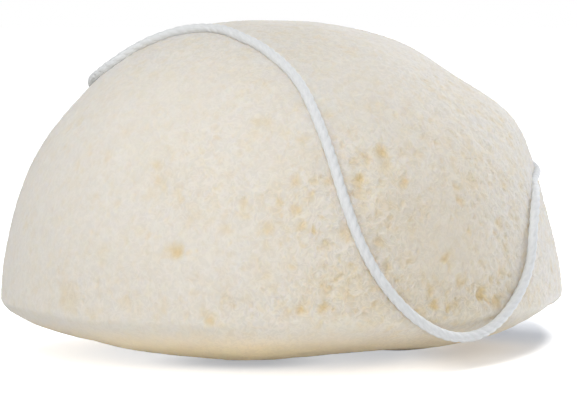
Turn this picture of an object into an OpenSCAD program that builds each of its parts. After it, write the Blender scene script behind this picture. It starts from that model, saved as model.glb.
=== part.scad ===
// Half-ball konjac facial sponge with a cotton hanging string.
// The sponge stands on the flat patch of its rolled underside, the centre of that patch is the
// origin and +Z is up. The string lies in one loop over the dome. Both its ends enter the back
// of the dome side by side, run down to a pocket in the underside and are knotted there.
// +X is to the right and -Y is the front, where the string crosses the dome.

/* [Sponge] */
// Width of the half ball across its rim
sponge_w = 80; // [72:1:100]
// Height of the dome above the rim
dome_h = 40; // [34:1:50]
// Height of the rim above the surface that the sponge stands on
rim_h = 8; // [7:0.5:12]
// Width of the flat patch that touches that surface
rest_w = 34; // [28:1:40]
// Squareness of the dome's shoulders, where 2 is a true ellipse
dome_fullness = 2.23; // [2:0.01:2.5]
// Fullness of the rolled underside, where 2 is a true ellipse
belly_fullness = 1.5; // [1.4:0.05:1.7]

/* [String] */
// Thickness of the cotton string
string_d = 1.5; // [1:0.1:2]
// Clearance between the string and the skin of the sponge that it lies on
lay_gap = 0.3; // [0.2:0.05:0.5]
// Clearance round each strand inside the sponge
channel_gap = 0.15; // [0.1:0.05:0.4]
// Gap between the two strands that run side by side
strand_gap = 0.1; // [0.1:0.05:0.3]
// Height at which the strings leave the back of the dome, in degrees above the rim
exit_angle = 17; // [14:1:24]

/* [Knot] */
// Distance of the knot's axis inside the rim
knot_inset = 10; // [9:0.5:12]
// Turns that the knot takes round the two strands
knot_turns = 2; // [2:1:3]
// Gap between the turns of the knot
turn_gap = 0.45; // [0.4:0.05:0.7]
// Depth by which the knot's foot stands out of the underside
knot_drop = 0.35; // [0.1:0.05:0.5]
// Clearance between the knot and the wall of its pocket
pocket_gap = 0.25; // [0.2:0.05:0.6]
// Height above the knot in which the strands bend towards their channel
elbow_room = 2.5; // [2.2:0.1:4]

/* [Tails] */
// Distance of the cut ends inside the rim
tail_inset = 1.5; // [1:0.25:3]
// Distance of each cut end to its side of the knot
tail_spread = 4.5; // [3:0.25:6]
// Gap between the cut ends and the underside above them
tail_gap = 0.9; // [0.6:0.05:1.2]
// Depth to which the tails bend below the knot's foot
tail_dip = 2; // [1.6:0.1:2.2]

/* [Hidden] */

// Route of the free loop from the left hole over the dome to the right one, chosen by hand.
// Each point has its longitude and latitude in degrees, seen from the middle of the rim, and
// how far it stands off the skin in string diameters. Longitude 90 is the back, 270 the front.
loop_route = [
    [93, 21, 0.7], [99, 26, 0.7], [110, 31, 0.3], [124, 36, 0], [141, 41.5, 0], [158, 46, 0],
    [173, 49, 0], [186, 51, 0], [193.5, 54.5, 0], [196, 60, 0], [202, 66, 0], [215, 69.5, 0],
    [232, 70, 0], [249, 67, 0], [262, 62, 0], [270.5, 56, 0], [276, 49, 0], [279, 41, 0],
    [281.5, 32, 0], [283.5, 23, 0], [286, 15, 0], [290, 7.5, 0], [296, 1, 0], [303, -3, 0],
    [310, -4, 0], [317.5, -2, 0], [325, 3, 0], [330.5, 9, 0], [333.5, 15, 0], [337.5, 21, 0],
    [343.5, 26, 0], [352, 28.5, 0], [363, 29.5, 0], [377, 30, 0], [391, 30, 0],
    [406, 29, 0], [420, 27, 0], [433, 24.5, 0.4], [444, 21.5, 0.7]
];

rim_r = sponge_w / 2;
rest_r = rest_w / 2;
string_r = string_d / 2;
string_sides = 8;
// Each strand's distance from the middle plane
strand_x = string_r + strand_gap / 2;
bore_r = string_r + channel_gap;
// Length by which the cuts run past the sponge's skin
overrun = 2;

profile_steps = 24;
belly_steps = 12;
loop_steps = 2;
bend_steps = 8;
turn_steps = 16;
round_fn = 96;

function unit(v) = v / norm(v);

// Height of the rolled underside above the surface, at a distance from the centre
function belly_z(r) =
    let (share = min(max((r - rest_r) / (rim_r - rest_r), 0), 1))
    rim_h * (1 - pow(1 - pow(share, belly_fullness), 1 / belly_fullness));

// Direction from the middle of the rim at a longitude and a latitude
function aim(lon, lat) = [cos(lat) * cos(lon), cos(lat) * sin(lon), sin(lat)];

// Distance from the middle of the rim to the dome's skin in a direction. Below the rim it is
// the distance to an upright wall, because a string that passes over the rim hangs plumb.
function skin_reach(d) =
    pow(pow(norm([d.x, d.y]) / rim_r, dome_fullness)
        + pow(max(d.z, 0) / dome_h, dome_fullness), -1 / dome_fullness);

// Point at a height off the skin in a direction
function off_skin(d, height) = [0, 0, rim_h] + d * (skin_reach(d) + height);

// Point at a share of the way from b to c on a smooth curve through a, b, c and d
function between(a, b, c, d, share) =
    b + (share * (c - a) + pow(share, 2) * (2 * a - 5 * b + 4 * c - d)
        + pow(share, 3) * (3 * b - a - 3 * c + d)) / 2;

// Smooth curve through all the points of a list, in steps between neighbours
function smooth(list, steps) =
    let (last = len(list) - 1)
    concat([for (i = [0:last - 1], j = [0:steps - 1])
        between(list[max(i - 1, 0)], list[i], list[i + 1], list[min(i + 2, last)], j / steps)],
        [list[last]]);

// Bend from a to c that is drawn towards b, in steps
function bend(a, b, c, steps) =
    [for (i = [0:steps]) let (share = i / steps)
        pow(1 - share, 2) * a + 2 * share * (1 - share) * b + pow(share, 2) * c];

function run_length(path) =
    len(path) < 2 ? 0 : [for (i = [1:len(path) - 1]) norm(path[i] - path[i - 1])]
        * [for (i = [1:len(path) - 1]) 1];

// Loop: the string starts on the hinge point just off the skin and lies on the dome
exit_dir = aim(90, exit_angle);
exit_point = off_skin(exit_dir, 0);
lay_height = string_r + lay_gap;
swing_point = off_skin(exit_dir, lay_height);
function leg_start(side) =
    let (d = unit(swing_point - [0, 0, rim_h] + [side * strand_x, 0, 0])) [d.x, d.y, d.z, 0];
loop_aims = concat([leg_start(-1)],
    [for (p = loop_route) let (d = aim(p.x, p.y)) [d.x, d.y, d.z, p.z]],
    [leg_start(1)]);
loop_path = [for (q = smooth(loop_aims, loop_steps)) let (d = unit([q.x, q.y, q.z]))
    off_skin(d, lay_height + q[3] * string_d)];

// Knot: a coil round the two strands, upright in its pocket
knot_y = rim_r - knot_inset;
wrap_r = strand_x + string_d + strand_gap;
wrap_pitch = string_d + turn_gap;
knot_foot = belly_z(knot_y) - knot_drop;
knot_top = knot_foot + string_d + knot_turns * wrap_pitch;
pocket_r = wrap_r + string_r + pocket_gap;
pocket_top = knot_top + elbow_room;
knot_path = [for (i = [0:knot_turns * turn_steps]) let (turn = i / turn_steps)
    [wrap_r * cos(360 * turn - 90), knot_y + wrap_r * sin(360 * turn - 90),
        knot_foot + string_r + turn * wrap_pitch]];

// Strands: from the skin down the channel, round the elbow, through the knot and out to a tail
elbow = [0, knot_y, knot_top + elbow_room / 2];
channel_dir = unit(exit_point - elbow);
channel_l = norm(exit_point - elbow);
tail_y = sqrt(pow(rim_r - tail_inset, 2) - pow(tail_spread, 2));
function strand_path(side) =
    let (
        shift = [side * strand_x, 0, 0],
        foot = [side * strand_x, knot_y, knot_foot],
        dip = [side * strand_x, knot_y + string_r, knot_foot - tail_dip],
        tip = [side * tail_spread, tail_y, belly_z(rim_r - tail_inset) - tail_gap - string_r]
    )
    concat([exit_point + shift],
        bend(elbow + shift + channel_dir * elbow_room / 2, elbow + shift,
            elbow + shift - [0, 0, elbow_room / 2], bend_steps),
        bend(foot, dip, tip, bend_steps));

echo(str("Free loop of string, mm: ", run_length(loop_path)));
echo(str("Each strand with its tail, mm: ", run_length(strand_path(1))));
echo(str("Swing point of the loop, mm: ", swing_point));
echo(str("Middle of the loop, mm: ", loop_path[floor(len(loop_path) / 2)]));

// A string swept along a path. Each ring is square to the path and turned to face a direction.
module string_tube(path, facings) {
    last = len(path) - 1;
    sides = string_sides;
    rings = [for (i = [0:last])
        let (
            ahead = unit(path[min(i + 1, last)] - path[max(i - 1, 0)]),
            across = unit(cross(ahead, facings[i])),
            out = cross(ahead, across)
        )
        for (k = [0:sides - 1])
            path[i] + string_r * (cos(360 * k / sides) * across + sin(360 * k / sides) * out)];
    walls = [for (i = [0:last - 1], k = [0:sides - 1])
        let (a = i * sides + k, b = i * sides + (k + 1) % sides)
        each [[a, a + sides, b + sides], [a, b + sides, b]]];
    ends = [for (k = [1:sides - 2])
        each [[0, k, k + 1], [last * sides, last * sides + k + 1, last * sides + k]]];
    polyhedron(points = rings, faces = concat(walls, ends));
}

// Outline of the sponge from its axis: flat patch, rolled underside, dome
module sponge_outline() {
    patch = [[0, 0]];
    underside = [for (i = [0:belly_steps]) let (a = 90 * i / belly_steps)
        [rest_r + (rim_r - rest_r) * pow(sin(a), 2 / belly_fullness),
            rim_h * (1 - pow(cos(a), 2 / belly_fullness))]];
    dome = [for (i = [1:profile_steps]) let (a = 90 * i / profile_steps)
        [rim_r * pow(cos(a), 2 / dome_fullness), rim_h + dome_h * pow(sin(a), 2 / dome_fullness)]];
    polygon(concat(patch, underside, dome));
}

// Room for one strand from its elbow to past the skin
module strand_bore(side) {
    tilt = acos(channel_dir.z);
    translate(elbow + [side * strand_x, 0, 0])
        rotate([-tilt, 0, 0])
            cylinder(r = bore_r, h = channel_l + overrun, $fn = round_fn);
}

module sponge_body() {
    color("#EAE4D4")
        difference() {
            rotate_extrude($fn = round_fn) sponge_outline();
            translate([0, knot_y, -overrun])
                cylinder(r = pocket_r, h = pocket_top + overrun, $fn = round_fn);
            strand_bore(-1);
            strand_bore(1);
        }
}

module hanging_loop() {
    color("#F4F4F1")
        string_tube(loop_path, [for (p = loop_path) p - [0, 0, rim_h]]);
}

module threaded_strand(side) {
    path = strand_path(side);
    color("#F4F4F1")
        string_tube(path, [for (p = path) [1, 0, 0]]);
}

module stopper_knot() {
    color("#EFEFEB")
        string_tube(knot_path, [for (p = knot_path) [0, 0, 1]]);
}

sponge_body();
hanging_loop();
threaded_strand(-1);  // threaded_strand_left
threaded_strand(1);  // threaded_strand_right
stopper_knot();
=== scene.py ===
"""Half-ball konjac facial sponge with a twisted cotton hanging string.

The foam stands on the flat patch of its underside, whose centre is the origin. +Z is up, -Y is the
front, where the string crosses the dome, and +X is to the right. Shapes are worked out in
millimetres and put into the meshes in metres.
"""

import math

import bpy
import numpy as np
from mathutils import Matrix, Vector


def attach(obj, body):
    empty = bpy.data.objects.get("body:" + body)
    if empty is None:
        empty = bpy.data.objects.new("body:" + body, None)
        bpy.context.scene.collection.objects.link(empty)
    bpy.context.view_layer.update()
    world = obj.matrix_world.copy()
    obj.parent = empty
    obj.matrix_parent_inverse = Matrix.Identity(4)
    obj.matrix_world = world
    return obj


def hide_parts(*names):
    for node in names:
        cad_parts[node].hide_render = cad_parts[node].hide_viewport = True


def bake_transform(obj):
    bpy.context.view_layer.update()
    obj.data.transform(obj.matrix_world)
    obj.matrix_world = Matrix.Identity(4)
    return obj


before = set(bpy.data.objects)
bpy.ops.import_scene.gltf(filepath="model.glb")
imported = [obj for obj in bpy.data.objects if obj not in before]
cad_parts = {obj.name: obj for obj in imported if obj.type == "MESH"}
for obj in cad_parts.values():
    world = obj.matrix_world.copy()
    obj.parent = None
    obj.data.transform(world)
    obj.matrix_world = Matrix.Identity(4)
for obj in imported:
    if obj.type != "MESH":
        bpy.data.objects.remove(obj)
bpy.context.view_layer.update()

bl_info = {
    "name": "Konjac Sponge",
    "version": (1, 0, 0),
    "blender": (4, 5, 0),
    "location": "3D View > Sidebar > Konjac Sponge",
    "description": "Builds a half-ball konjac facial sponge with its twisted cotton hanging string",
    "category": "Add Mesh",
}

MM = 0.001
TAU = 2 * math.pi

# Route of the free loop from the left hole over the dome to the right one: longitude and latitude
# in degrees, seen from the middle of the rim, and the distance off the skin in string diameters.
# Longitude 90 is the back, 270 the front. It is the route of the part's source, apart from the
# right shoulder (338 to 391), where the string runs up to 3.5 degrees lower, pressed into the foam.
LOOP_ROUTE = np.array([
    [93, 21, 0.7], [99, 26, 0.7], [110, 31, 0.3], [124, 36, 0], [141, 41.5, 0], [158, 46, 0],
    [173, 49, 0], [186, 51, 0], [193.5, 54.5, 0], [196, 60, 0], [202, 66, 0], [215, 69.5, 0],
    [232, 70, 0], [249, 67, 0], [262, 62, 0], [270.5, 56, 0], [276, 49, 0], [279, 41, 0],
    [281.5, 32, 0], [283.5, 23, 0], [286, 15, 0], [290, 7.5, 0], [296, 1, 0], [303, -3, 0],
    [310, -4, 0], [317.5, -2, 0], [325, 3, 0], [330.5, 9, 0], [333.5, 15, 0], [338, 20, 0],
    [344, 23.5, -0.2], [353, 25.2, -0.4], [364, 26.5, -0.2], [377.5, 28, 0], [391, 29, 0],
    [406, 29, 0], [420, 27, 0], [433, 24.5, 0.4], [444, 21.5, 0.7],
])

# Broad lumps and hollows of the hand-dried foam: longitude, latitude, spread in degrees and
# height in mm
LUMPS = np.array([
    [181, 25, 12, -0.5], [181, 44, 10, -0.6], [200, 67, 9, 0.5], [0, 71, 8, -0.2],
    [0, 49, 7, -1.3], [355, 38, 9, 1.4], [352, 27, 5, -1.0], [357, 16, 8, -0.4], [358, 3, 6, 0.6],
])

# Places where the underside has drawn up from the table or sagged: x, y, spread and rise in mm
RISES = np.array([
    [-31, 1, 8, 0.2], [-22, -9, 8, 0.8], [-12, -15, 8, 1.6], [0, -18, 8, 0.6], [11, -14, 9, 1.5],
    [24, -9, 8, 0.2], [34, -5, 5, 1.6], [-20, -27, 7, -0.9], [-5, -33, 7, -1.1],
])

# Large open cells of the foam that stand out one by one: longitude and latitude in degrees, radius
# in mm and depth as a share of the deepest
OPEN_CELLS = np.array([
    [249, 13.5, 1.2, 0.9], [247.5, 13.2, 1.0, 0.6], [273.5, 27.2, 0.9, 0.8],
    [277.5, 27.2, 0.7, 0.7], [270, 23, 0.7, 0.7], [262.5, 22.8, 0.8, 0.6], [294, 33.4, 1.0, 0.9],
    [297.5, 26.5, 0.8, 0.8], [287, 27, 1.0, 0.8], [256.5, 1, 1.0, 0.7], [279, 5.5, 0.8, 0.7],
    [278.5, 2.8, 0.9, 0.9], [224, 3.2, 2.2, 0.5], [314, 3.7, 1.2, 0.8], [305, 11.4, 0.9, 0.8],
    [290.5, 15, 0.9, 0.7], [245, 25.4, 0.7, 0.5], [243, 16, 0.6, 0.5], [299, 33, 0.6, 0.6],
    [301.5, 2.8, 0.9, 0.7], [307, 2.3, 0.9, 0.8], [318.5, 1.9, 1.1, 0.9], [312, 16.7, 0.8, 0.6],
])


def linear(hex_colour):
    """Linear red, green and blue of an sRGB hex colour: a share c of full is c / 12.92 up to
    0.04045, and ((c + 0.055) / 1.055) to the power 2.4 above."""
    shares = [int(hex_colour[k:k + 2], 16) / 255 for k in (1, 3, 5)]
    return tuple(c / 12.92 if c <= 0.04045 else ((c + 0.055) / 1.055) ** 2.4 for c in shares)


def size_property(name, description, default):
    return bpy.props.FloatProperty(name=name, description=description, default=default,
                                   min=0.0, precision=5, unit="LENGTH", subtype="DISTANCE")


def number_property(name, description, default, low=0.0, high=1000.0, **settings):
    return bpy.props.FloatProperty(name=name, description=description, default=default, min=low,
                                   max=high, **settings)


def angle_property(name, description, degrees):
    return bpy.props.FloatProperty(name=name, description=description, subtype="ANGLE",
                                   default=math.radians(degrees), unit="ROTATION")


def colour_property(name, description, hex_colour):
    return bpy.props.FloatVectorProperty(name=name, description=description, size=3, min=0, max=1,
                                         default=linear(hex_colour), subtype="COLOR")


class FoamSettings(bpy.types.PropertyGroup):
    width: size_property("Width", "Width of the half ball across its rim", 0.080)
    dome_height: size_property("Dome height", "Height of the dome above the rim", 0.040)
    rim_height: size_property("Rim height", "Height of the rim above the table", 0.008)
    rest_width: size_property("Rest width", "Width of the flat patch on the table", 0.034)
    dome_fullness: number_property(
        "Dome fullness", "Squareness of the dome's shoulders, 2 is an ellipse", 2.23, 1.5, 4)
    belly_fullness: number_property(
        "Belly fullness", "Fullness of the rolled underside, 2 is an ellipse", 1.5, 1.2, 3)
    cells: bpy.props.IntProperty(
        name="Grid cells", description="Cells along each side of the dome's grid", default=400,
        min=40, max=800)
    foam_colour: colour_property("Foam", "Colour of the dry foam", "#E3DED5")
    # Painted shade of the open cells' hollows and painted light that comes out of them through the
    # foam; the ochre specks and blotches share this colour as the foam's own tone
    ochre_and_cell_shade_colour: colour_property("Open cells", "Colour inside the open cells", "#DFCCA4")
    # Partly the skin's own honey tone, partly a painted glow of the light that comes through the
    # foam
    skin_and_glow_colour: colour_property("Skin", "Colour of the smooth skin under the rim", "#FFE8BC")


class StringSettings(bpy.types.PropertyGroup):
    diameter: size_property("Diameter", "Thickness of the cotton string", 0.0015)
    seat: size_property("Seat", "Height of the string's middle above the skin it lies on", 0.0004)
    gap: size_property("Strand gap", "Gap between the two strands side by side", 0.0001)
    plies: bpy.props.IntProperty(name="Plies", description="Plies twisted into the string",
                                 default=3, min=2, max=6)
    lay: size_property("Lay", "Length in which a ply goes once round the string", 0.0044)
    exit_angle: angle_property("Exit angle", "Height of the holes in the back above the rim", 17)
    cotton_colour: colour_property("Cotton", "Colour of the bleached cotton", "#E3E5E6")


class StageSettings(bpy.types.PropertyGroup):
    distance: size_property("Camera distance", "From the camera to the middle of the rim", 0.6)
    elevation: angle_property("Camera elevation", "Height of the camera above the horizon", 4.6)
    key: number_property("Key light", "Power of the light overhead", 2.75, unit="POWER")
    front: number_property("Front light", "Power of the light in front", 1.2, unit="POWER")
    rim: number_property("Rim light", "Power of the light at back right", 3.0, unit="POWER")
    ambient: number_property("Ambient", "Strength of the light all round", 0.24)
    floor_colour: colour_property("Floor", "Colour of the table", "#FAFAFA")


class KonjacSettings(bpy.types.PropertyGroup):
    foam: bpy.props.PointerProperty(type=FoamSettings, name="Foam",
                                    description="Sizes and colours of the foam")
    string: bpy.props.PointerProperty(type=StringSettings, name="String",
                                      description="Sizes and colours of the string")
    stage: bpy.props.PointerProperty(type=StageSettings, name="Stage",
                                     description="Camera, lights and table")


# Numbers spread over space


def scrambled(cubes, seed):
    """Number from 0 to 1 for each cube of a lattice: its three counts are multiplied by large
    odd numbers, joined bit by bit and stirred by shifts."""
    x, y, z = (cubes[..., k].astype(np.uint32) for k in range(3))
    stir = (x * np.uint32(73856093)) ^ (y * np.uint32(19349663)) ^ (z * np.uint32(83492791))
    stir = stir ^ np.uint32(seed * 2654435761 % 2**32)
    stir = (stir ^ (stir >> np.uint32(15))) * np.uint32(2246822519)
    stir = (stir ^ (stir >> np.uint32(13))) * np.uint32(3266489917)
    return (stir ^ (stir >> np.uint32(16))) / 2**32


def cloud(points, size, seed):
    """Smooth noise from about -1 to 1. Each corner of a lattice of that size has a random slope.
    At a point the eight slopes round it are followed to the point and blended by
    6t^5 - 15t^4 + 10t^3 along each axis."""
    place = points / size
    base = np.floor(place)
    inside = place - base
    base = base.astype(np.int64)
    ease = inside**3 * (inside * (inside * 6 - 15) + 10)
    total = np.zeros(len(points))
    for corner in np.ndindex(2, 2, 2):
        step = np.array(corner)
        weight = np.prod(np.where(step, ease, 1 - ease), axis=1)
        slope = np.stack([scrambled(base + step, seed + 7 * k) for k in range(3)], axis=1) * 2 - 1
        total += weight * ((inside - step) * slope).sum(axis=1)
    # The blend alone goes from about -0.6 to 0.6
    return total * 1.6


def open_cells(points, size, share, seed):
    """Depth from 0 to 1 of round open cells. A share of the cubes of a lattice of that size hold
    one cell each, with its own middle and a radius r of 0.25 to 0.6 of the size. At a distance d
    from its middle it is (1 - (d / r)^2)^2 deep, and the deepest cell near a point counts."""
    place = points / size
    base = np.floor(place).astype(np.int64)
    depth = np.zeros(len(points))
    for neighbour in np.ndindex(3, 3, 3):
        cube = base + np.array(neighbour) - 1
        middle = cube + np.stack([scrambled(cube, seed + 11 * k) for k in range(3)], axis=1)
        radius = 0.25 + 0.35 * scrambled(cube, seed + 5)
        there = scrambled(cube, seed + 3) < share
        away = ((place - middle) ** 2).sum(axis=1) / radius**2
        depth = np.maximum(depth, np.where(there, np.clip(1 - away, 0, 1) ** 2, 0))
    return depth


def eased(value, low, high):
    """0 below low, 1 above high, and 3t^2 - 2t^3 between."""
    t = np.clip((value - low) / (high - low), 0, 1)
    return t * t * (3 - 2 * t)


def unit(vectors):
    return vectors / np.linalg.norm(vectors, axis=-1, keepdims=True)


# The foam's form


def aim(longitude, latitude):
    """Direction from the middle of the rim at a longitude and a latitude in degrees."""
    lon, lat = np.radians(longitude), np.radians(latitude)
    return np.stack([np.cos(lat) * np.cos(lon), np.cos(lat) * np.sin(lon), np.sin(lat)], axis=-1)


class Form:
    """Sizes of the plain half ball in millimetres, and the curves that follow from them."""

    dome_samples, belly_samples, patch_samples = 3001, 2001, 500

    def __init__(self, foam):
        self.rim_r = foam.width / MM / 2
        self.dome_h = foam.dome_height / MM
        self.rim_h = foam.rim_height / MM
        self.rest_r = foam.rest_width / MM / 2
        self.dome_n = foam.dome_fullness
        self.belly_n = foam.belly_fullness
        self.middle = np.array([0, 0, self.rim_h])

    def dome(self):
        """Radius and height from the top to the rim: R cos(a)^(2/n) and H sin(a)^(2/n) above the
        rim, for a from 90 degrees to 0."""
        a = np.linspace(math.pi / 2, 0, self.dome_samples)
        return np.stack([self.rim_r * np.clip(np.cos(a), 0, 1) ** (2 / self.dome_n),
                         self.rim_h + self.dome_h * np.sin(a) ** (2 / self.dome_n)], axis=1)

    def belly(self):
        """Radius and height from the centre of the flat patch to the rim: along the patch, then
        the same kind of curve up to the rim."""
        a = np.linspace(0, math.pi / 2, self.belly_samples)
        roll = np.stack([
            self.rest_r + (self.rim_r - self.rest_r) * np.sin(a) ** (2 / self.belly_n),
            self.rim_h * (1 - np.clip(np.cos(a), 0, 1) ** (2 / self.belly_n))], axis=1)
        patch = np.linspace(0, self.rest_r, self.patch_samples, endpoint=False)
        return np.concatenate([np.stack([patch, 0 * patch], axis=1), roll])

    def belly_z(self, radius):
        """Height of the underside at a distance from the axis."""
        share = np.clip((radius - self.rest_r) / (self.rim_r - self.rest_r), 0, 1)
        return self.rim_h * (1 - (1 - share**self.belly_n) ** (1 / self.belly_n))

    def reach(self, aims):
        """Distance from the middle of the rim to the dome: (out/R)^n + (up/H)^n = 1 solved for
        the length. Below the rim the wall counts as upright."""
        out = np.hypot(aims[..., 0], aims[..., 1]) / self.rim_r
        up = np.maximum(aims[..., 2], 0) / self.dome_h
        return (out**self.dome_n + up**self.dome_n) ** (-1 / self.dome_n)

    def broad(self, points):
        """Lumps of the foam in mm away from the middle of the rim: each falls as
        exp(-(angle / spread)^2 / 2) round its direction, and a slow noise rolls over all of
        them, but not over the flat patch."""
        aims = unit(points - self.middle)
        away = np.degrees(np.arccos(np.clip(aims @ aim(LUMPS[:, 0], LUMPS[:, 1]).T, -1, 1)))
        lumps = (LUMPS[:, 3] * np.exp(-((away / LUMPS[:, 2]) ** 2) / 2)).sum(axis=1)
        rolling = 0.25 * cloud(points, 17, 1) + 0.11 * cloud(points, 6.5, 2)
        return lumps + rolling * eased(points[:, 2], 0.2, 4)

    def rise(self, points):
        """Height in mm by which the underside has drawn up: each rise falls as
        exp(-(distance / spread)^2 / 2) in plan, and all of them end at the rim."""
        away = np.linalg.norm(points[:, None, :2] - RISES[:, :2], axis=2)
        rises = (RISES[:, 3] * np.exp(-((away / RISES[:, 2]) ** 2) / 2)).sum(axis=1)
        return rises * (1 - eased(points[:, 2], self.rim_h - 1, self.rim_h + 3))

    def seat(self, aims, height):
        """Points at a height over the lumpy skin in given directions."""
        reach = self.reach(aims)
        skin = self.middle + aims * reach[:, None]
        return self.middle + aims * (reach + self.broad(skin) + height)[:, None]


def disc_grid(cells):
    """Square grid bent into a disc. With a and b from -1 to 1, the larger of the two in size is
    the radius, and the smaller over it, times 45 degrees, the angle from that axis. Returns the
    radius from 0 to 1, the longitude, and the square's own places as a map from 0 to 1."""
    line = np.linspace(-1, 1, cells + 1)
    a, b = np.meshgrid(line, line, indexing="ij")
    along_a = np.abs(a) >= np.abs(b)
    major = np.where(along_a, a, b)
    minor = np.where(along_a, b, a)
    turn = math.pi / 4 * minor / np.where(major == 0, 1, major)
    x = major * np.where(along_a, np.cos(turn), np.sin(turn))
    y = major * np.where(along_a, np.sin(turn), np.cos(turn))
    return np.abs(major), np.arctan2(y, x), np.stack([a, b], axis=-1) / 2 + 0.5


def carried(curve, share, longitude, side):
    """Points and outward normals of a curve of radius and height that is turned round the
    upright axis, at a share of its length. The normal is the curve's slope turned by 90 degrees,
    to the side that is 1 or -1."""
    length = np.concatenate([[0], np.cumsum(np.linalg.norm(np.diff(curve, axis=0), axis=1))])
    at = share * length[-1]
    radius, height = (np.interp(at, length, curve[:, k]) for k in range(2))
    slope = np.gradient(curve, axis=0)
    out, up = (np.interp(at, length, unit(slope)[:, k]) for k in range(2))
    cos, sin = np.cos(longitude), np.sin(longitude)
    points = np.stack([radius * cos, radius * sin, height], axis=-1)
    normals = side * np.stack([-up * cos, -up * sin, out], axis=-1)
    return points, normals


def half_ball(form, cells):
    """Points and outward normals of the plain half ball, and for its dome and its underside the
    grid of their points' numbers and their map. The underside has cells twice as long as the
    dome's, and on the rim it shares every other point with it."""
    share, longitude, top_map = disc_grid(cells)
    # The dome's cells get shorter towards the rim
    top, top_normals = carried(form.dome(), share * (1.15 - 0.15 * share**2), longitude, 1)
    top_index = np.arange(share.size).reshape(share.shape)
    share, longitude, low_map = disc_grid(cells // 2)
    low, low_normals = carried(form.belly(), share, longitude, -1)
    inner = np.zeros(share.shape, bool)
    inner[1:-1, 1:-1] = True
    low_index = np.array(top_index[::2, ::2])
    low_index[inner] = top_index.size + np.arange(inner.sum())
    points = np.concatenate([top.reshape(-1, 3), low[inner]])
    normals = np.concatenate([top_normals.reshape(-1, 3), low_normals[inner]])
    return points, normals, (top_index, top_map), (low_index, low_map)


def foam_relief(form, points):
    """Height of the foam's surface in mm over the plain form, with what the material needs: how
    far a point lies in an open cell, on a cell wall and on the smooth skin, and how coarse the
    foam is there."""
    def near(longitude, latitude, spread):
        """1 at a place of the dome, and exp(-(d / spread)^2) at d mm from it."""
        place = form.middle + 0.95 * form.rim_r * aim(longitude, latitude)
        return np.exp(-((np.linalg.norm(points - place, axis=1) / spread) ** 2))

    longitude = np.arctan2(points[:, 1], points[:, 0])
    # The skin starts at the rim, a little higher on the right than on the left
    edge = form.rim_h + 0.8 * np.cos(longitude + 0.4) + 0.6 * cloud(points, 5, 20)
    skin = 1 - eased(points[:, 2], edge - 1.1, edge + 0.6)
    coarse = 0.6 + 0.8 * eased(0.02 * points[:, 0] + cloud(points, 19, 21), -0.6, 0.6)
    warped = points + 0.45 * np.stack([cloud(points, 1.3, 30 + k) for k in range(3)], axis=1)
    # Size of the cells' lattice in mm, share of its cubes that hold one, and seed
    large, medium, small = (open_cells(warped, *kind) for kind in (
        (5.2, 0.22, 40), (2.6, 0.62, 50), (1.4, 0.70, 60)))
    cell_aims = aim(OPEN_CELLS[:, 0], OPEN_CELLS[:, 1])
    cell_places = form.middle + cell_aims * form.reach(cell_aims)[:, None]
    single = np.zeros(len(points))
    for place, (radius, depth) in zip(cell_places, OPEN_CELLS[:, 2:]):
        away = ((warped - place) ** 2).sum(axis=1) / (1.25 * radius) ** 2
        single = np.maximum(single, depth * np.clip(1 - away, 0, 1) ** 1.5)
    wall = np.clip(1 - np.abs(cloud(warped, 1.5, 70)) / 0.2, 0, 1)
    fine = cloud(points, 0.8, 80)
    # The foam is coarsest in a band just above the rim at the front
    low_front = np.exp(-(((points[:, 2] - 11) / 4) ** 2)) * eased(-points[:, 1], 20, 30)
    coarse = coarse * (1 + 0.5 * low_front)
    # At the top and on the right shoulder the foam is closer, with hardly an open cell
    close = np.maximum(eased(points[:, 2], 33, 40), near(350, 40, 15))
    # Depths and heights in mm
    pores = (0.20 * large + 0.21 * medium + 0.18 * small) * coarse * (1 - 0.92 * skin)
    pores *= 1 - 0.6 * close
    relief = -pores - 0.30 * single + (0.08 * wall + 0.05 * fine) * coarse * (1 - 0.8 * skin)
    crease = 0.12 * cloud(points * [1, 1, 2.5], 4.5, 90) + 0.03 * cloud(points, 1.1, 91)
    relief += crease * skin * eased(points[:, 2], 0.1, 1.5)
    # How ochre the foam is in its cells, from 0 to 1, in patches about 8 mm across. In the cells
    # the ochre is painted shade of the hollows and painted light that comes out through the foam;
    # the patches are the foam's own uneven tone.
    patchy = 0.45 + 0.55 * eased(cloud(points, 8, 92), -0.4, 0.4)
    ochre = (0.2 * large + 0.48 * medium * patchy + 0.26 * small * patchy) * coarse * (1 - skin)
    ochre *= 1 - 0.85 * close
    # Low at the front right the foam is a little more yellow all over
    ochre = np.clip(ochre + 0.2 * near(305, 10, 15) + 0.7 * single, 0, 1)
    return relief, {"open_cell": ochre, "cell_wall": wall * (1 - skin), "skin": skin,
                    "coarse": coarse}


def cell_corners(grid):
    """The four corners of each cell of a square grid, in order round the cell."""
    return np.stack([grid[:-1, :-1], grid[1:, :-1], grid[1:, 1:], grid[:-1, 1:]], axis=2)


def rim_ring(index):
    """Numbers along the edge of a square grid, side by side: first and last row, first and last
    column."""
    return index[0], index[-1], index[:, 0], index[:, -1]


def ringed(values, edge_values, empty):
    """Corners of all cells of a coarse grid in order, each followed by a place for the point
    halfway to the next corner, which only the cells at the grid's edge have."""
    cells = values.shape[0] - 1
    rings = np.full((cells, cells, 8) + values.shape[2:], empty, dtype=values.dtype)
    rings[:, :, 0], rings[:, :, 2] = values[:-1, :-1], values[1:, :-1]
    rings[:, :, 4], rings[:, :, 6] = values[1:, 1:], values[:-1, 1:]
    first_row, last_row, first_column, last_column = edge_values
    rings[:, 0, 1], rings[-1, :, 3] = first_column, last_row
    rings[:, -1, 5], rings[0, :, 7] = last_column, first_row
    return rings


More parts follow.
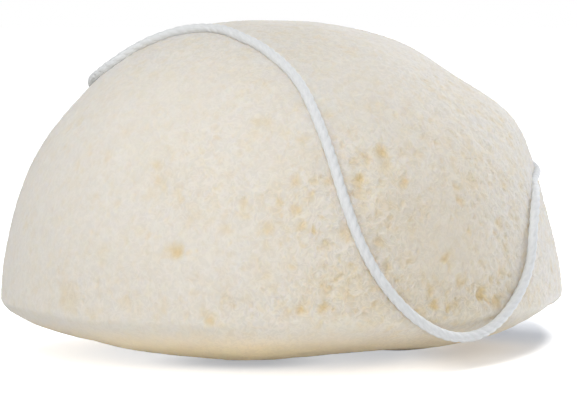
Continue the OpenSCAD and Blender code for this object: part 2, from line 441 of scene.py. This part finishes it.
def put_mesh(name, points, corners, sizes, material):
    """Object from points in mm, the corners of all faces in one row, and each face's number of
    corners."""
    mesh = bpy.data.meshes.new(name)
    mesh.vertices.add(len(points))
    mesh.vertices.foreach_set("co", (points * MM).astype(np.float32).ravel())
    mesh.loops.add(len(corners))
    mesh.loops.foreach_set("vertex_index", corners.astype(np.int32))
    mesh.polygons.add(len(sizes))
    starts = np.concatenate([[0], np.cumsum(sizes)[:-1]])
    mesh.polygons.foreach_set("loop_start", starts.astype(np.int32))
    mesh.polygons.foreach_set("use_smooth", np.ones(len(sizes), bool))
    mesh.update(calc_edges=True)
    if mesh.validate():
        raise RuntimeError(f"the mesh of {name} has faces that don't hold together")
    mesh.materials.append(material)
    made = bpy.data.objects.new(name, mesh)
    bpy.context.scene.collection.objects.link(made)
    return made


def put_map(made, name, places):
    layer = made.data.uv_layers.new(name=name)
    layer.data.foreach_set("uv", places.astype(np.float32).ravel())


def put_values(made, name, values):
    layer = made.data.attributes.new(name, "FLOAT", "POINT")
    layer.data.foreach_set("value", values.astype(np.float32))


# The string's form


def smooth(stops, steps):
    """Smooth curve through all the stops: between two of them a cubic, whose slope at a stop is
    half the way between its two neighbours."""
    ends = np.vstack([stops[:1], stops, stops[-1:]])
    a, b, c, d = (ends[k:k + len(stops) - 1, None] for k in range(4))
    t = (np.arange(steps) / steps)[None, :, None]
    curve = b + (t * (c - a) + t**2 * (2 * a - 5 * b + 4 * c - d)
                 + t**3 * (3 * b - a - 3 * c + d)) / 2
    return np.vstack([curve.reshape(-1, stops.shape[1]), stops[-1:]])


def bend(a, b, c, steps):
    """Curve from a to c that is drawn towards b: (1-t)^2 a + 2t(1-t) b + t^2 c."""
    t = np.linspace(0, 1, steps + 1)[:, None]
    return (1 - t) ** 2 * a + 2 * t * (1 - t) * b + t**2 * c


def spaced(path, step):
    """The path again, with points a step apart, and the distance of each from the start."""
    along = np.concatenate([[0], np.cumsum(np.linalg.norm(np.diff(path, axis=0), axis=1))])
    at = np.linspace(0, along[-1], int(math.ceil(along[-1] / step)) + 1)
    return np.stack([np.interp(at, along, path[:, k]) for k in range(3)], axis=1), at


class Thread:
    """Sizes of the string in millimetres and the places that its holes, channel and knot have,
    with the same formulas as the part's source."""

    lay_gap, elbow_room = 0.3, 2.5
    knot_inset, knot_turns, turn_gap, knot_drop = 10, 2, 0.45, 0.35
    tail_inset, tail_spread, tail_gap, tail_dip = 1.5, 4.5, 0.9, 2
    # How far inside the holes the loop and the strands end, so that they overlap there
    loop_inset, strand_inset = 3, 0.5

    def __init__(self, form, string):
        self.form = form
        self.radius = string.diameter / MM / 2
        self.diameter = 2 * self.radius
        self.lay, self.plies = string.lay / MM, string.plies
        self.seat = string.seat / MM
        self.strand_x = self.radius + string.gap / MM / 2
        exit_aim = aim(90, math.degrees(string.exit_angle))
        self.exit = form.middle + exit_aim * form.reach(exit_aim)
        self.swing = self.exit + exit_aim * (self.radius + self.lay_gap)
        self.knot_y = form.rim_r - self.knot_inset
        self.knot_foot = form.belly_z(self.knot_y) - self.knot_drop
        self.wrap_r = self.strand_x + self.diameter + string.gap / MM
        self.wrap_pitch = self.diameter + self.turn_gap
        self.knot_top = self.knot_foot + self.diameter + self.knot_turns * self.wrap_pitch
        self.elbow = np.array([0, self.knot_y, self.knot_top + self.elbow_room / 2])
        self.channel = unit(self.exit - self.elbow)

    def loop_path(self):
        """The free loop from inside the left hole to inside the right one. On the dome it follows
        the route, seated on the skin. At each end a bend takes the place of its last stretch,
        drawn towards a point straight on from the leg."""
        starts = [unit(self.swing - self.form.middle + [side * self.strand_x, 0, 0])
                  for side in (-1, 1)]
        stops = np.column_stack([aim(LOOP_ROUTE[:, 0], LOOP_ROUTE[:, 1]), LOOP_ROUTE[:, 2]])
        stops = np.vstack([[*starts[0], 0], stops, [*starts[1], 0]])
        curve = smooth(stops, steps=12)
        step, replaced, straight_on = 0.25, 3.5, 3.2
        path, _ = spaced(self.form.seat(unit(curve[:, :3]),
                                        self.seat + curve[:, 3] * self.diameter), step)
        skip = round(replaced / step)
        ends = []
        for side, leg in ((-1, path[skip:skip + 2]), (1, path[-skip - 1:-skip - 3:-1])):
            inside = self.exit + [side * self.strand_x, 0, 0] - self.loop_inset * self.channel
            drawn = leg[0] - unit(leg[1] - leg[0]) * straight_on
            ends.append(bend(inside, drawn, leg[0], steps=24))
        return np.vstack([ends[0][:-1], path[skip:-skip], ends[1][-2::-1]])

    def strand_path(self, side):
        """One strand from just inside its hole down the channel, round the elbow, upright
        through the knot and out to its cut tail."""
        shift = np.array([side * self.strand_x, 0, 0])
        half_room = self.elbow_room / 2
        foot = np.array([0, self.knot_y, self.knot_foot]) + shift
        dip = foot + [0, self.radius, -self.tail_dip]
        tail_r = self.form.rim_r - self.tail_inset
        tip = np.array([side * self.tail_spread, math.sqrt(tail_r**2 - self.tail_spread**2),
                        self.form.belly_z(tail_r) - self.tail_gap - self.radius])
        elbow = self.elbow + shift
        return np.vstack([
            [self.exit + shift - self.strand_inset * self.channel],
            bend(elbow + self.channel * half_room, elbow, elbow - [0, 0, half_room], steps=12),
            bend(foot, dip, tip, steps=24)])

    def knot_path(self):
        """Two turns round both strands, whose two ends tuck in towards the strands."""
        # Share of a turn that each end goes on for, where its tuck starts, and its depth in mm
        longer, tuck_start, tuck_depth = 0.12, -0.02, 0.9
        half = self.knot_turns / 2
        turns = np.linspace(-longer, self.knot_turns + longer, 120)
        tuck = eased(np.abs(turns - half), half + tuck_start, half + longer)
        angle = TAU * turns - math.pi / 2
        radius = self.wrap_r - tuck_depth * tuck
        return np.stack([radius * np.cos(angle), self.knot_y + radius * np.sin(angle),
                         self.knot_foot + self.radius + turns * self.wrap_pitch], axis=1)


def twisted_string(name, path, facing, thread, material, step=0.16, sides=24):
    """Twisted string along a path. Round each ring the radius is R (1 - g (1 - |cos(n a / 2)|^0.8))
    for n plies with a groove g deep between them, and each ring is turned further than the one
    before, once round in a lay. The ends are rounded off over half a radius. Facing gives each
    point of the path the direction that its ring starts from."""
    path, along = spaced(path, step)
    ahead = unit(np.gradient(path, axis=0))
    across = unit(np.cross(ahead, facing(path)))
    upward = np.cross(ahead, across)
    # Depth of the grooves, mean size of the string, and how much it swells over what length in mm
    groove, fullness, swelling, swell_length = 0.15, 0.97, 0.035, 2.3
    # The first corner lies in a groove, where the map's seam doesn't show
    start = math.pi / thread.plies
    corner = start + TAU * np.arange(sides) / sides
    profile = 1 - groove * (1 - np.abs(np.cos(thread.plies * corner / 2)) ** 0.8)
    on_a_line = np.stack([along, along * 0 + 3, along * 0], axis=1)
    uneven = 1 + swelling * cloud(on_a_line, swell_length, 100)
    cap = 0.5 * thread.radius
    from_end = np.minimum(along, along[-1] - along)
    # The last ring stays open a little, so that its end face has a size
    rounded = np.sqrt(1 - (1 - np.clip(from_end / cap, 0.02, 1)) ** 2)
    radius = thread.radius * fullness * np.outer(uneven * rounded, profile)
    turn = corner[None, :] + TAU * along[:, None] / thread.lay
    points = (path[:, None] + radius[..., None] * (np.cos(turn)[..., None] * across[:, None]
                                                    + np.sin(turn)[..., None] * upward[:, None]))
    rings = len(path)
    index = np.arange(rings * sides).reshape(rings, sides)
    following = np.roll(index, -1, axis=1)
    walls = np.stack([index[:-1], following[:-1], following[1:], index[1:]], axis=-1)
    corners = np.concatenate([walls.reshape(-1), index[0, ::-1], index[-1]])
    sizes = np.concatenate([np.full(walls.shape[0] * sides, 4), [sides, sides]])
    made = put_mesh(name, points.reshape(-1, 3), corners, sizes, material)
    # Along the string and round it, both in mm, so that a pattern follows each ply
    girth = TAU * thread.radius
    u = np.broadcast_to(along[:, None], (rings, sides + 1))
    v = np.broadcast_to(girth * np.arange(sides + 1)[None] / sides, (rings, sides + 1))
    uv = np.stack([u, v], axis=-1)
    places = np.stack([uv[:-1, :-1], uv[:-1, 1:], uv[1:, 1:], uv[1:, :-1]], axis=2)
    put_map(made, "ply", np.concatenate([places.reshape(-1, 2), np.zeros((2 * sides, 2))]))
    return made, path


# Materials


def add_node(tree, kind, inputs=None, **settings):
    """Adds a node. Settings are its own properties. Each input is given by name or number, and
    is joined to a socket or set to a value."""
    made = tree.nodes.new(kind)
    for name, value in settings.items():
        setattr(made, name, value)
    for name, value in (inputs or {}).items():
        if isinstance(value, bpy.types.NodeSocket):
            tree.links.new(value, made.inputs[name])
        else:
            made.inputs[name].default_value = value
    return made


def per_metre(size_mm):
    """Scale of a pattern whose features are that many millimetres apart, on coordinates in m."""
    return 1 / (size_mm * MM)


def calculated(tree, operation, *values, **settings):
    """Result of a Math node on sockets or numbers."""
    return add_node(tree, "ShaderNodeMath", dict(enumerate(values)), operation=operation,
                    **settings).outputs[0]


def ramp(tree, value, start, end, low, high, interpolation="LINEAR"):
    """Low as far as the start, high from the end on, and a line or an S-curve between."""
    return add_node(tree, "ShaderNodeMapRange", {0: value, 1: start, 2: end, 3: low, 4: high},
                    clamp=True, interpolation_type=interpolation).outputs[0]


def noise(tree, at, size_mm, detail, roughness, distortion=0.0):
    """Noise whose features are that many millimetres apart, on coordinates in m."""
    return add_node(tree, "ShaderNodeTexNoise", {
        "Vector": at, "Scale": per_metre(size_mm), "Detail": detail, "Roughness": roughness,
        "Distortion": distortion}).outputs["Fac"]


def mixed(tree, share, first, second):
    """The first colour at a share of 0, and the second at 1."""
    return add_node(tree, "ShaderNodeMix", {0: share, 6: first, 7: second},
                    data_type="RGBA").outputs[2]


def blank_material(name):
    material = bpy.data.materials.new(name)
    material.use_nodes = True
    material.node_tree.nodes.clear()
    return material, material.node_tree


def foam_material(foam):
    """Dried konjac foam, a fine net of plant fibre that was frozen and dried in a mould. It is
    matt and lets a little light through. Its open cells are painted ochre: painted shade in the
    hollows and painted light that comes out of them through the foam. The skin that lay on the
    mould is smooth, and its honey colour is partly its own and partly a painted glow of light
    that comes through the foam."""
    material, tree = blank_material("dried_konjac_foam")
    at = add_node(tree, "ShaderNodeTexCoord").outputs["Object"]
    values = {name: add_node(tree, "ShaderNodeAttribute", attribute_name=name).outputs["Fac"]
              for name in ("open_cell", "cell_wall", "skin", "coarse")}
    # Blotches of drier and moister foam, about 7 mm across
    blotch = noise(tree, at, 7, 3.0, 0.6)
    # Curly fibres, 1.1 mm from one to the next: they lie where a noise is near its middle
    curls = noise(tree, at, 1.1, 0.8, 0.5, 1.3)
    off_middle = calculated(tree, "ABSOLUTE", calculated(tree, "SUBTRACT", curls, 0.5))
    fibre = ramp(tree, off_middle, 0.0, 0.14, 1.0, 0.0, "SMOOTHSTEP")
    # Finer net between them, 0.7 mm
    fine = noise(tree, at, 0.7, 0.5, 0.6, 0.8)
    net = calculated(tree, "MULTIPLY_ADD", fibre, 0.8, fine)
    # Ochre specks between the fibres, about 1.6 mm apart
    speck = ramp(tree, noise(tree, at, 1.6, 1.0, 0.5, 0.6), 0.48, 0.75, 0.0, 0.24)
    warm = calculated(tree, "ADD", ramp(tree, blotch, 0.35, 0.7, 0.0, 0.13), speck)
    warm = calculated(tree, "MULTIPLY", warm, values["coarse"])
    # Painted shade and light in the open cells, and the foam's own ochre specks and blotches
    share = calculated(tree, "ADD", values["open_cell"], warm, use_clamp=True)
    tinted = mixed(tree, share, (*foam.foam_colour, 1), (*foam.ochre_and_cell_shade_colour, 1))
    # Under the rim the skin turns to honey from about 1 mm below its edge downwards: partly its
    # own colour, and partly a painted glow of the light that comes through the foam, stronger
    # nearer the table
    height = add_node(tree, "ShaderNodeSeparateXYZ", {0: at}).outputs["Z"]
    low = ramp(tree, height, 7.0 * MM, 2.5 * MM, 0.0, 1.0, "SMOOTHSTEP")
    honey = calculated(tree, "MULTIPLY", values["skin"], low)
    body = mixed(tree, honey, tinted, (*foam.skin_and_glow_colour, 1))
    # Cell walls and fibres catch more light than the hollows between them
    contrast = calculated(tree, "MULTIPLY", values["coarse"], 0.057)
    raised = ramp(tree, net, 0.38, 1.3, -0.7, 0.5)
    grey = calculated(tree, "MULTIPLY_ADD", raised, contrast, 1.0)
    lift = calculated(tree, "MULTIPLY_ADD", values["cell_wall"], 0.03, grey)
    colour = add_node(tree, "ShaderNodeVectorMath", {0: body, "Scale": lift},
                      operation="SCALE").outputs[0]
    # The net stands a little proud, and is fainter on the skin
    amount = calculated(tree, "MULTIPLY", ramp(tree, values["skin"], 0.0, 1.0, 0.7, 0.12),
                        values["coarse"], use_clamp=True)
    bump = add_node(tree, "ShaderNodeBump", {
        "Height": net, "Strength": amount, "Distance": 0.05 * MM}).outputs[0]
    surface = add_node(tree, "ShaderNodeBsdfPrincipled", {
        "Base Color": colour, "Roughness": 0.92, "Normal": bump, "IOR": 1.45,
        "Subsurface Weight": 0.5, "Subsurface Radius": (1.0, 0.8, 0.5),
        "Subsurface Scale": 8 * MM, "Sheen Weight": 0.3, "Sheen Roughness": 0.5,
        "Sheen Tint": (1, 1, 1, 1), "Specular IOR Level": 0.25})
    add_node(tree, "ShaderNodeOutputMaterial", {"Surface": surface.outputs[0]})
    return material


def cotton_material(string):
    """Bleached cotton, spun into yarn and twisted into a string. It is matt white with a soft
    sheen of loose fibre, and the yarn of each ply shows as fine lines."""
    material, tree = blank_material("bleached_twisted_cotton")
    at = add_node(tree, "ShaderNodeUVMap", uv_map="ply").outputs["UV"]
    # In each ply the fibres lean the other way, so they run nearly straight along the string
    along, across, _ = add_node(tree, "ShaderNodeSeparateXYZ", {0: at}).outputs
    lean = math.pi * string.diameter / string.lay * 0.8
    # Bundles of fibre, in mm on a map in mm: 1 mm long and 0.22 mm apart
    bundle = 0.22
    fibre_at = add_node(tree, "ShaderNodeCombineXYZ", {
        "X": calculated(tree, "MULTIPLY", along, bundle),
        "Y": calculated(tree, "MULTIPLY_ADD", along, lean, across)}).outputs[0]
    fibre = add_node(tree, "ShaderNodeTexNoise", {
        "Vector": fibre_at, "Scale": 1 / bundle, "Detail": 3.0, "Roughness": 0.6}).outputs["Fac"]
    shade = ramp(tree, fibre, 0.3, 0.7, 0.93, 1.02)
    colour = add_node(tree, "ShaderNodeVectorMath", {
        0: (*string.cotton_colour,), "Scale": shade}, operation="SCALE").outputs[0]
    bump = add_node(tree, "ShaderNodeBump", {
        "Height": fibre, "Strength": 0.5, "Distance": 0.08 * MM}).outputs[0]
    surface = add_node(tree, "ShaderNodeBsdfPrincipled", {
        "Base Color": colour, "Roughness": 0.88, "Normal": bump, "IOR": 1.5,
        "Subsurface Weight": 0.3, "Subsurface Radius": (1, 1, 1), "Subsurface Scale": 0.5 * MM,
        "Sheen Weight": 0.7, "Sheen Roughness": 0.5, "Sheen Tint": (1, 1, 1, 1),
        "Specular IOR Level": 0.3})
    add_node(tree, "ShaderNodeOutputMaterial", {"Surface": surface.outputs[0]})
    return material


def shared_material(name, make, settings):
    return bpy.data.materials.get(name) or make(settings)


# Operators


def current_sizes(context):
    """The settings, with the form of the foam and the sizes of the string that follow from them."""
    settings = context.scene.konjac
    form = Form(settings.foam)
    return settings, form, Thread(form, settings.string)


def knot_pocket(form, thread, points):
    """Draws the underside up into the pocket round the knot. Near the knot's axis a point keeps
    its share of the way out, but laid along a curve: over the ceiling, down the wall and round
    the lip. The curve is given by the distance from the axis in mm and the share of the way up."""
    stops = np.array([[0, 1], [1.5, 1], [2.7, 0.99], [3.4, 0.9], [3.55, 0.6], [3.6, 0.3],
                      [3.75, 0.1], [4.2, 0.02], [5.2, 0], [6.1, 0], [7, 0]])
    room_over_knot = 1.4
    ceiling = thread.knot_top + room_over_knot
    outermost = stops[-1, 0]
    curve = smooth(stops, steps=12)
    from_axis = points[:, :2] - [0, thread.knot_y]
    away = np.hypot(*from_axis.T)
    inside = (away < outermost) & (points[:, 2] < form.rim_h)
    along = np.arange(len(curve))
    at = np.interp(away[inside] / outermost, np.linspace(0, 1, len(curve)), along)
    new_away, lift = (np.interp(at, along, curve[:, k]) for k in range(2))
    moved = points.copy()
    scale = new_away / np.maximum(away[inside], 1e-6)
    moved[inside, :2] = [0, thread.knot_y] + from_axis[inside] * scale[:, None]
    old_floor = form.belly_z(np.hypot(*points[inside, :2].T))
    new_floor = form.belly_z(np.hypot(*moved[inside, :2].T))
    height = points[inside, 2] - old_floor + new_floor
    moved[inside, 2] = height + lift * (ceiling - height)
    return moved


class KONJAC_OT_make_foam(bpy.types.Operator):
    """Build the half ball of dried konjac foam with its open cells, skin, knot pocket and the
    dimples where the strands come out
    """

    bl_idname = "konjac.make_foam"
    bl_label = "Make Foam"

    def execute(self, context):
        settings, form, thread = current_sizes(context)
        # An even number, since the underside has half as many
        cells = settings.foam.cells // 2 * 2
        points, normals, (top_index, top_map), (low_index, low_map) = half_ball(form, cells)
        relief, values = foam_relief(form, points)
        # The foam draws in round each strand where it comes out
        dimple_depth, dimple_spread = 0.9, 1.3
        for side in (-1, 1):
            hole = thread.exit + [side * thread.strand_x, 0, 0]
            away = np.linalg.norm(points - hole, axis=1)
            relief -= dimple_depth * np.exp(-((away / dimple_spread) ** 2))
        broad = form.broad(points)[:, None] * unit(points - form.middle)
        moved = points + normals * relief[:, None] + broad
        moved[:, 2] += form.rise(points)
        moved = knot_pocket(form, thread, moved)
        moved[:, 2] = np.maximum(moved[:, 2], 0)

        halfway = [line[1::2] for line in rim_ring(top_index)]
        rings = ringed(low_index, halfway, -1).reshape(-1, 8)[:, ::-1]
        there = rings >= 0
        corners = np.concatenate([cell_corners(top_index).ravel(), rings[there]])
        sizes = np.concatenate([np.full(cells * cells, 4), there.sum(axis=1)])
        foam = put_mesh("konjac_foam_half_ball", moved, corners, sizes,
                        shared_material("dried_konjac_foam", foam_material, settings.foam))
        for name, value in values.items():
            put_values(foam, name, value)
        # The dome fills the left of the map and the underside a smaller square beside it
        top_side, low_side, low_left = 0.66, 0.33, 0.665
        top_uv = cell_corners(top_map * top_side)
        low_places = low_map * low_side + [low_left, 0]
        middles = [(line[:-1] + line[1:]) / 2 for line in rim_ring(low_places)]
        low_uv = ringed(low_places, middles, 0.0).reshape(-1, 8, 2)[:, ::-1]
        put_map(foam, "OFBake", np.concatenate([top_uv.reshape(-1, 2), low_uv[there]]))
        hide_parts("sponge_body")
        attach(foam, "sponge")
        return {"FINISHED"}


class KONJAC_OT_make_loop(bpy.types.Operator):
    """Lay the free loop of twisted cotton string over the dome"""

    bl_idname = "konjac.make_loop"
    bl_label = "Make Hanging Loop"

    def execute(self, context):
        settings, form, thread = current_sizes(context)
        cotton = shared_material("bleached_twisted_cotton", cotton_material, settings.string)
        loop, path = twisted_string("cotton_hanging_loop", thread.loop_path(),
                                    lambda p: p - form.middle, thread, cotton)
        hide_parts("hanging_loop")
        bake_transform(loop)
        return {"FINISHED"}


class KONJAC_OT_make_strands(bpy.types.Operator):
    """Run the two strands through the foam to their knot and cut tails"""

    bl_idname = "konjac.make_strands"
    bl_label = "Make Strands and Knot"

    def execute(self, context):
        settings, _, thread = current_sizes(context)
        cotton = shared_material("bleached_twisted_cotton", cotton_material, settings.string)
        for side, word in ((-1, "left"), (1, "right")):
            strand, _ = twisted_string(f"cotton_strand_{word}", thread.strand_path(side),
                                       lambda p: np.tile([1.0, 0, 0], (len(p), 1)), thread, cotton)
            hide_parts(f"threaded_strand_{word}")
            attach(strand, "sponge")
        knot, _ = twisted_string("cotton_stopper_knot", thread.knot_path(),
                                 lambda p: np.tile([0, 0, 1.0], (len(p), 1)), thread, cotton)
        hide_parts("stopper_knot")
        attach(knot, "sponge")
        return {"FINISHED"}


def area_light(name, place, target, size, power, hex_colour="#FFFFFF"):
    lamp = bpy.data.lights.new(name, "AREA")
    lamp.color = linear(hex_colour)
    lamp.shape, lamp.size, lamp.energy = "DISK", size, power
    made = bpy.data.objects.new(name, lamp)
    made.location = place
    made.rotation_euler = (Vector(target) - Vector(place)).to_track_quat("-Z", "Y").to_euler()
    bpy.context.scene.collection.objects.link(made)


def seen_rays(tree):
    """1 for rays from the camera, in reflections and through clear things, and 0 for others."""
    path = add_node(tree, "ShaderNodeLightPath").outputs
    both = calculated(tree, "MAXIMUM", path["Is Camera Ray"], path["Is Glossy Ray"])
    return calculated(tree, "MAXIMUM", both, path["Is Transmission Ray"])


def place_camera(scene, stage, form):
    """Camera in front of the sponge, with a lens that gives a millimetre at the middle of the rim
    its number of pixels, and turned so that this middle has its place in the picture."""
    image_width, pixels_per_mm = 577, 6.94
    # From the middle of the rim to the middle of the picture, right and up, in mm
    right, up = 9 / pixels_per_mm, 95 / pixels_per_mm
    cos, sin = math.cos(stage.elevation), math.sin(stage.elevation)
    middle = Vector(form.middle * MM)
    place = middle + stage.distance * Vector((0, -cos, sin))
    target = middle + MM * Vector((right, up * sin, up * cos))
    lens = bpy.data.cameras.new("camera")
    lens.lens = lens.sensor_width * pixels_per_mm * stage.distance / MM / image_width
    lens.clip_start, lens.clip_end = 0.01, 20
    camera = bpy.data.objects.new("camera", lens)
    camera.location = place
    camera.rotation_euler = (target - place).to_track_quat("-Z", "Y").to_euler()
    scene.collection.objects.link(camera)
    scene.camera = camera
    scene.view_settings.view_transform = "Standard"


def table_material(stage):
    """White paint that fades into the white background: slowly to the left, to the front and
    behind, and at once round the sponge, where the shadow ends. It stays darker under the
    sponge. The fade is a glow held back in a painted shape of the shadow: it sets the shadow's
    outline and the strength of its parts, and it is held back more under the sponge, a painted
    contact shade."""
    material, tree = blank_material("white_painted_table")
    paint = add_node(tree, "ShaderNodeBsdfDiffuse", {"Color": (*stage.floor_colour, 1)})
    at = add_node(tree, "ShaderNodeTexCoord").outputs["Object"]
    x, y, _ = add_node(tree, "ShaderNodeSeparateXYZ", {0: at}).outputs
    # The painted shadow ends on an oval round a point behind the sponge's middle
    oval = add_node(tree, "ShaderNodeVectorMath", {0: at, 1: (1, 0.5, 1)},
                    operation="MULTIPLY").outputs[0]
    outward = add_node(tree, "ShaderNodeVectorMath", {0: oval, 1: (0, 19.5 * MM, 0)},
                       operation="DISTANCE").outputs["Value"]
    # Places in mm where each share of the painted shade starts and ends, and its strength there
    left, far_left, around, front, back = (
        ramp(tree, way, start * MM, end * MM, first, last, "SMOOTHSTEP")
        for way, start, end, first, last in (
            (x, 28, 17, 1.0, 0.52), (x, 17, -24, 0.0, -0.24), (outward, 39.5, 44, 1.0, 0.0),
            (y, 35, -140, 1.0, 0.0), (y, 46, 78, 1.0, 0.0)))
    shaded = calculated(tree, "ADD", left, far_left)
    for limit in (around, front, back):
        shaded = calculated(tree, "MULTIPLY", shaded, limit)
    # Where the sponge rests, less light gets in between it and the table: painted contact shade,
    # with the glow held back there
    from_rest = add_node(tree, "ShaderNodeVectorMath", {
        0: at, 1: (-5.5 * MM, -12 * MM, 0)}, operation="DISTANCE").outputs["Value"]
    open_to_light = ramp(tree, from_rest, 3 * MM, 15 * MM, 0.6, 1.0, "SMOOTHSTEP")
    fade = calculated(tree, "MULTIPLY", calculated(tree, "SUBTRACT", 1.0, shaded), open_to_light)
    # In the shadow the glow keeps a trace of blue, a painted cool light that sets off the honey
    # light that the underside throws on it
    tint = mixed(tree, fade, (0, 0.015, 0.045, 1), (1, 1, 1, 1))
    glow = add_node(tree, "ShaderNodeEmission", {"Color": tint, "Strength": seen_rays(tree)})
    both = add_node(tree, "ShaderNodeAddShader", {0: paint.outputs[0], 1: glow.outputs[0]})
    add_node(tree, "ShaderNodeOutputMaterial", {"Surface": both.outputs[0]})
    return material


def light_all_round(scene, stage):
    """White background, whose light on the sponge and the table is weaker than it looks."""
    world = bpy.data.worlds.new("studio")
    world.use_nodes = True
    scene.world = world
    tree = world.node_tree
    tree.nodes.clear()
    strength = ramp(tree, seen_rays(tree), 0.0, 1.0, stage.ambient, 1.0)
    sky = add_node(tree, "ShaderNodeBackground", {"Color": (1, 1, 1, 1), "Strength": strength})
    add_node(tree, "ShaderNodeOutputWorld", {"Surface": sky.outputs[0]})


class KONJAC_OT_make_stage(bpy.types.Operator):
    """Set up the camera, the table and the soft studio light"""

    bl_idname = "konjac.make_stage"
    bl_label = "Make Stage"

    def execute(self, context):
        settings = context.scene.konjac
        stage = settings.stage
        place_camera(context.scene, stage, Form(settings.foam))
        half_side = 3000
        square = half_side * np.array([[-1, -1, 0], [1, -1, 0], [1, 1, 0], [-1, 1, 0]])
        floor = put_mesh("table", square, np.arange(4), np.array([4]), table_material(stage))
        light_all_round(context.scene, stage)
        # Places and sizes in metres. All three lamps point at the middle of the sponge
        target = (0, 0, 0.02)
        area_light("key", (-0.27, -0.27, 0.65), target, 0.3, stage.key)
        area_light("front", (0.12, -0.66, 0.2), target, 0.24, stage.front)
        area_light("rim", (0.6, 0.4, 0.2), target, 0.25, stage.rim, "#F2F6FF")
        return {"FINISHED"}


class KONJAC_PT_sponge(bpy.types.Panel):
    bl_label = "Konjac Sponge"
    bl_idname = "KONJAC_PT_sponge"
    bl_space_type = "VIEW_3D"
    bl_region_type = "UI"
    bl_category = "Konjac Sponge"

    def draw(self, context):
        groups = context.scene.konjac
        for group, operator in ((groups.stage, "konjac.make_stage"),
                                (groups.string, "konjac.make_loop"),
                                (groups.string, "konjac.make_strands"),
                                (groups.foam, "konjac.make_foam")):
            box = self.layout.box()
            for name in group.__annotations__:
                box.prop(group, name)
            box.operator(operator)


CLASSES = (FoamSettings, StringSettings, StageSettings, KonjacSettings, KONJAC_OT_make_stage,
           KONJAC_OT_make_loop, KONJAC_OT_make_strands, KONJAC_OT_make_foam, KONJAC_PT_sponge)


def register():
    for item in CLASSES:
        bpy.utils.register_class(item)
    bpy.types.Scene.konjac = bpy.props.PointerProperty(type=KonjacSettings)


def unregister():
    del bpy.types.Scene.konjac
    for item in reversed(CLASSES):
        bpy.utils.unregister_class(item)


def main():
    register()
    bpy.ops.konjac.make_stage()
    bpy.ops.konjac.make_loop()
    bpy.ops.konjac.make_strands()
    bpy.ops.konjac.make_foam()


if __name__ == "__main__":
    main()
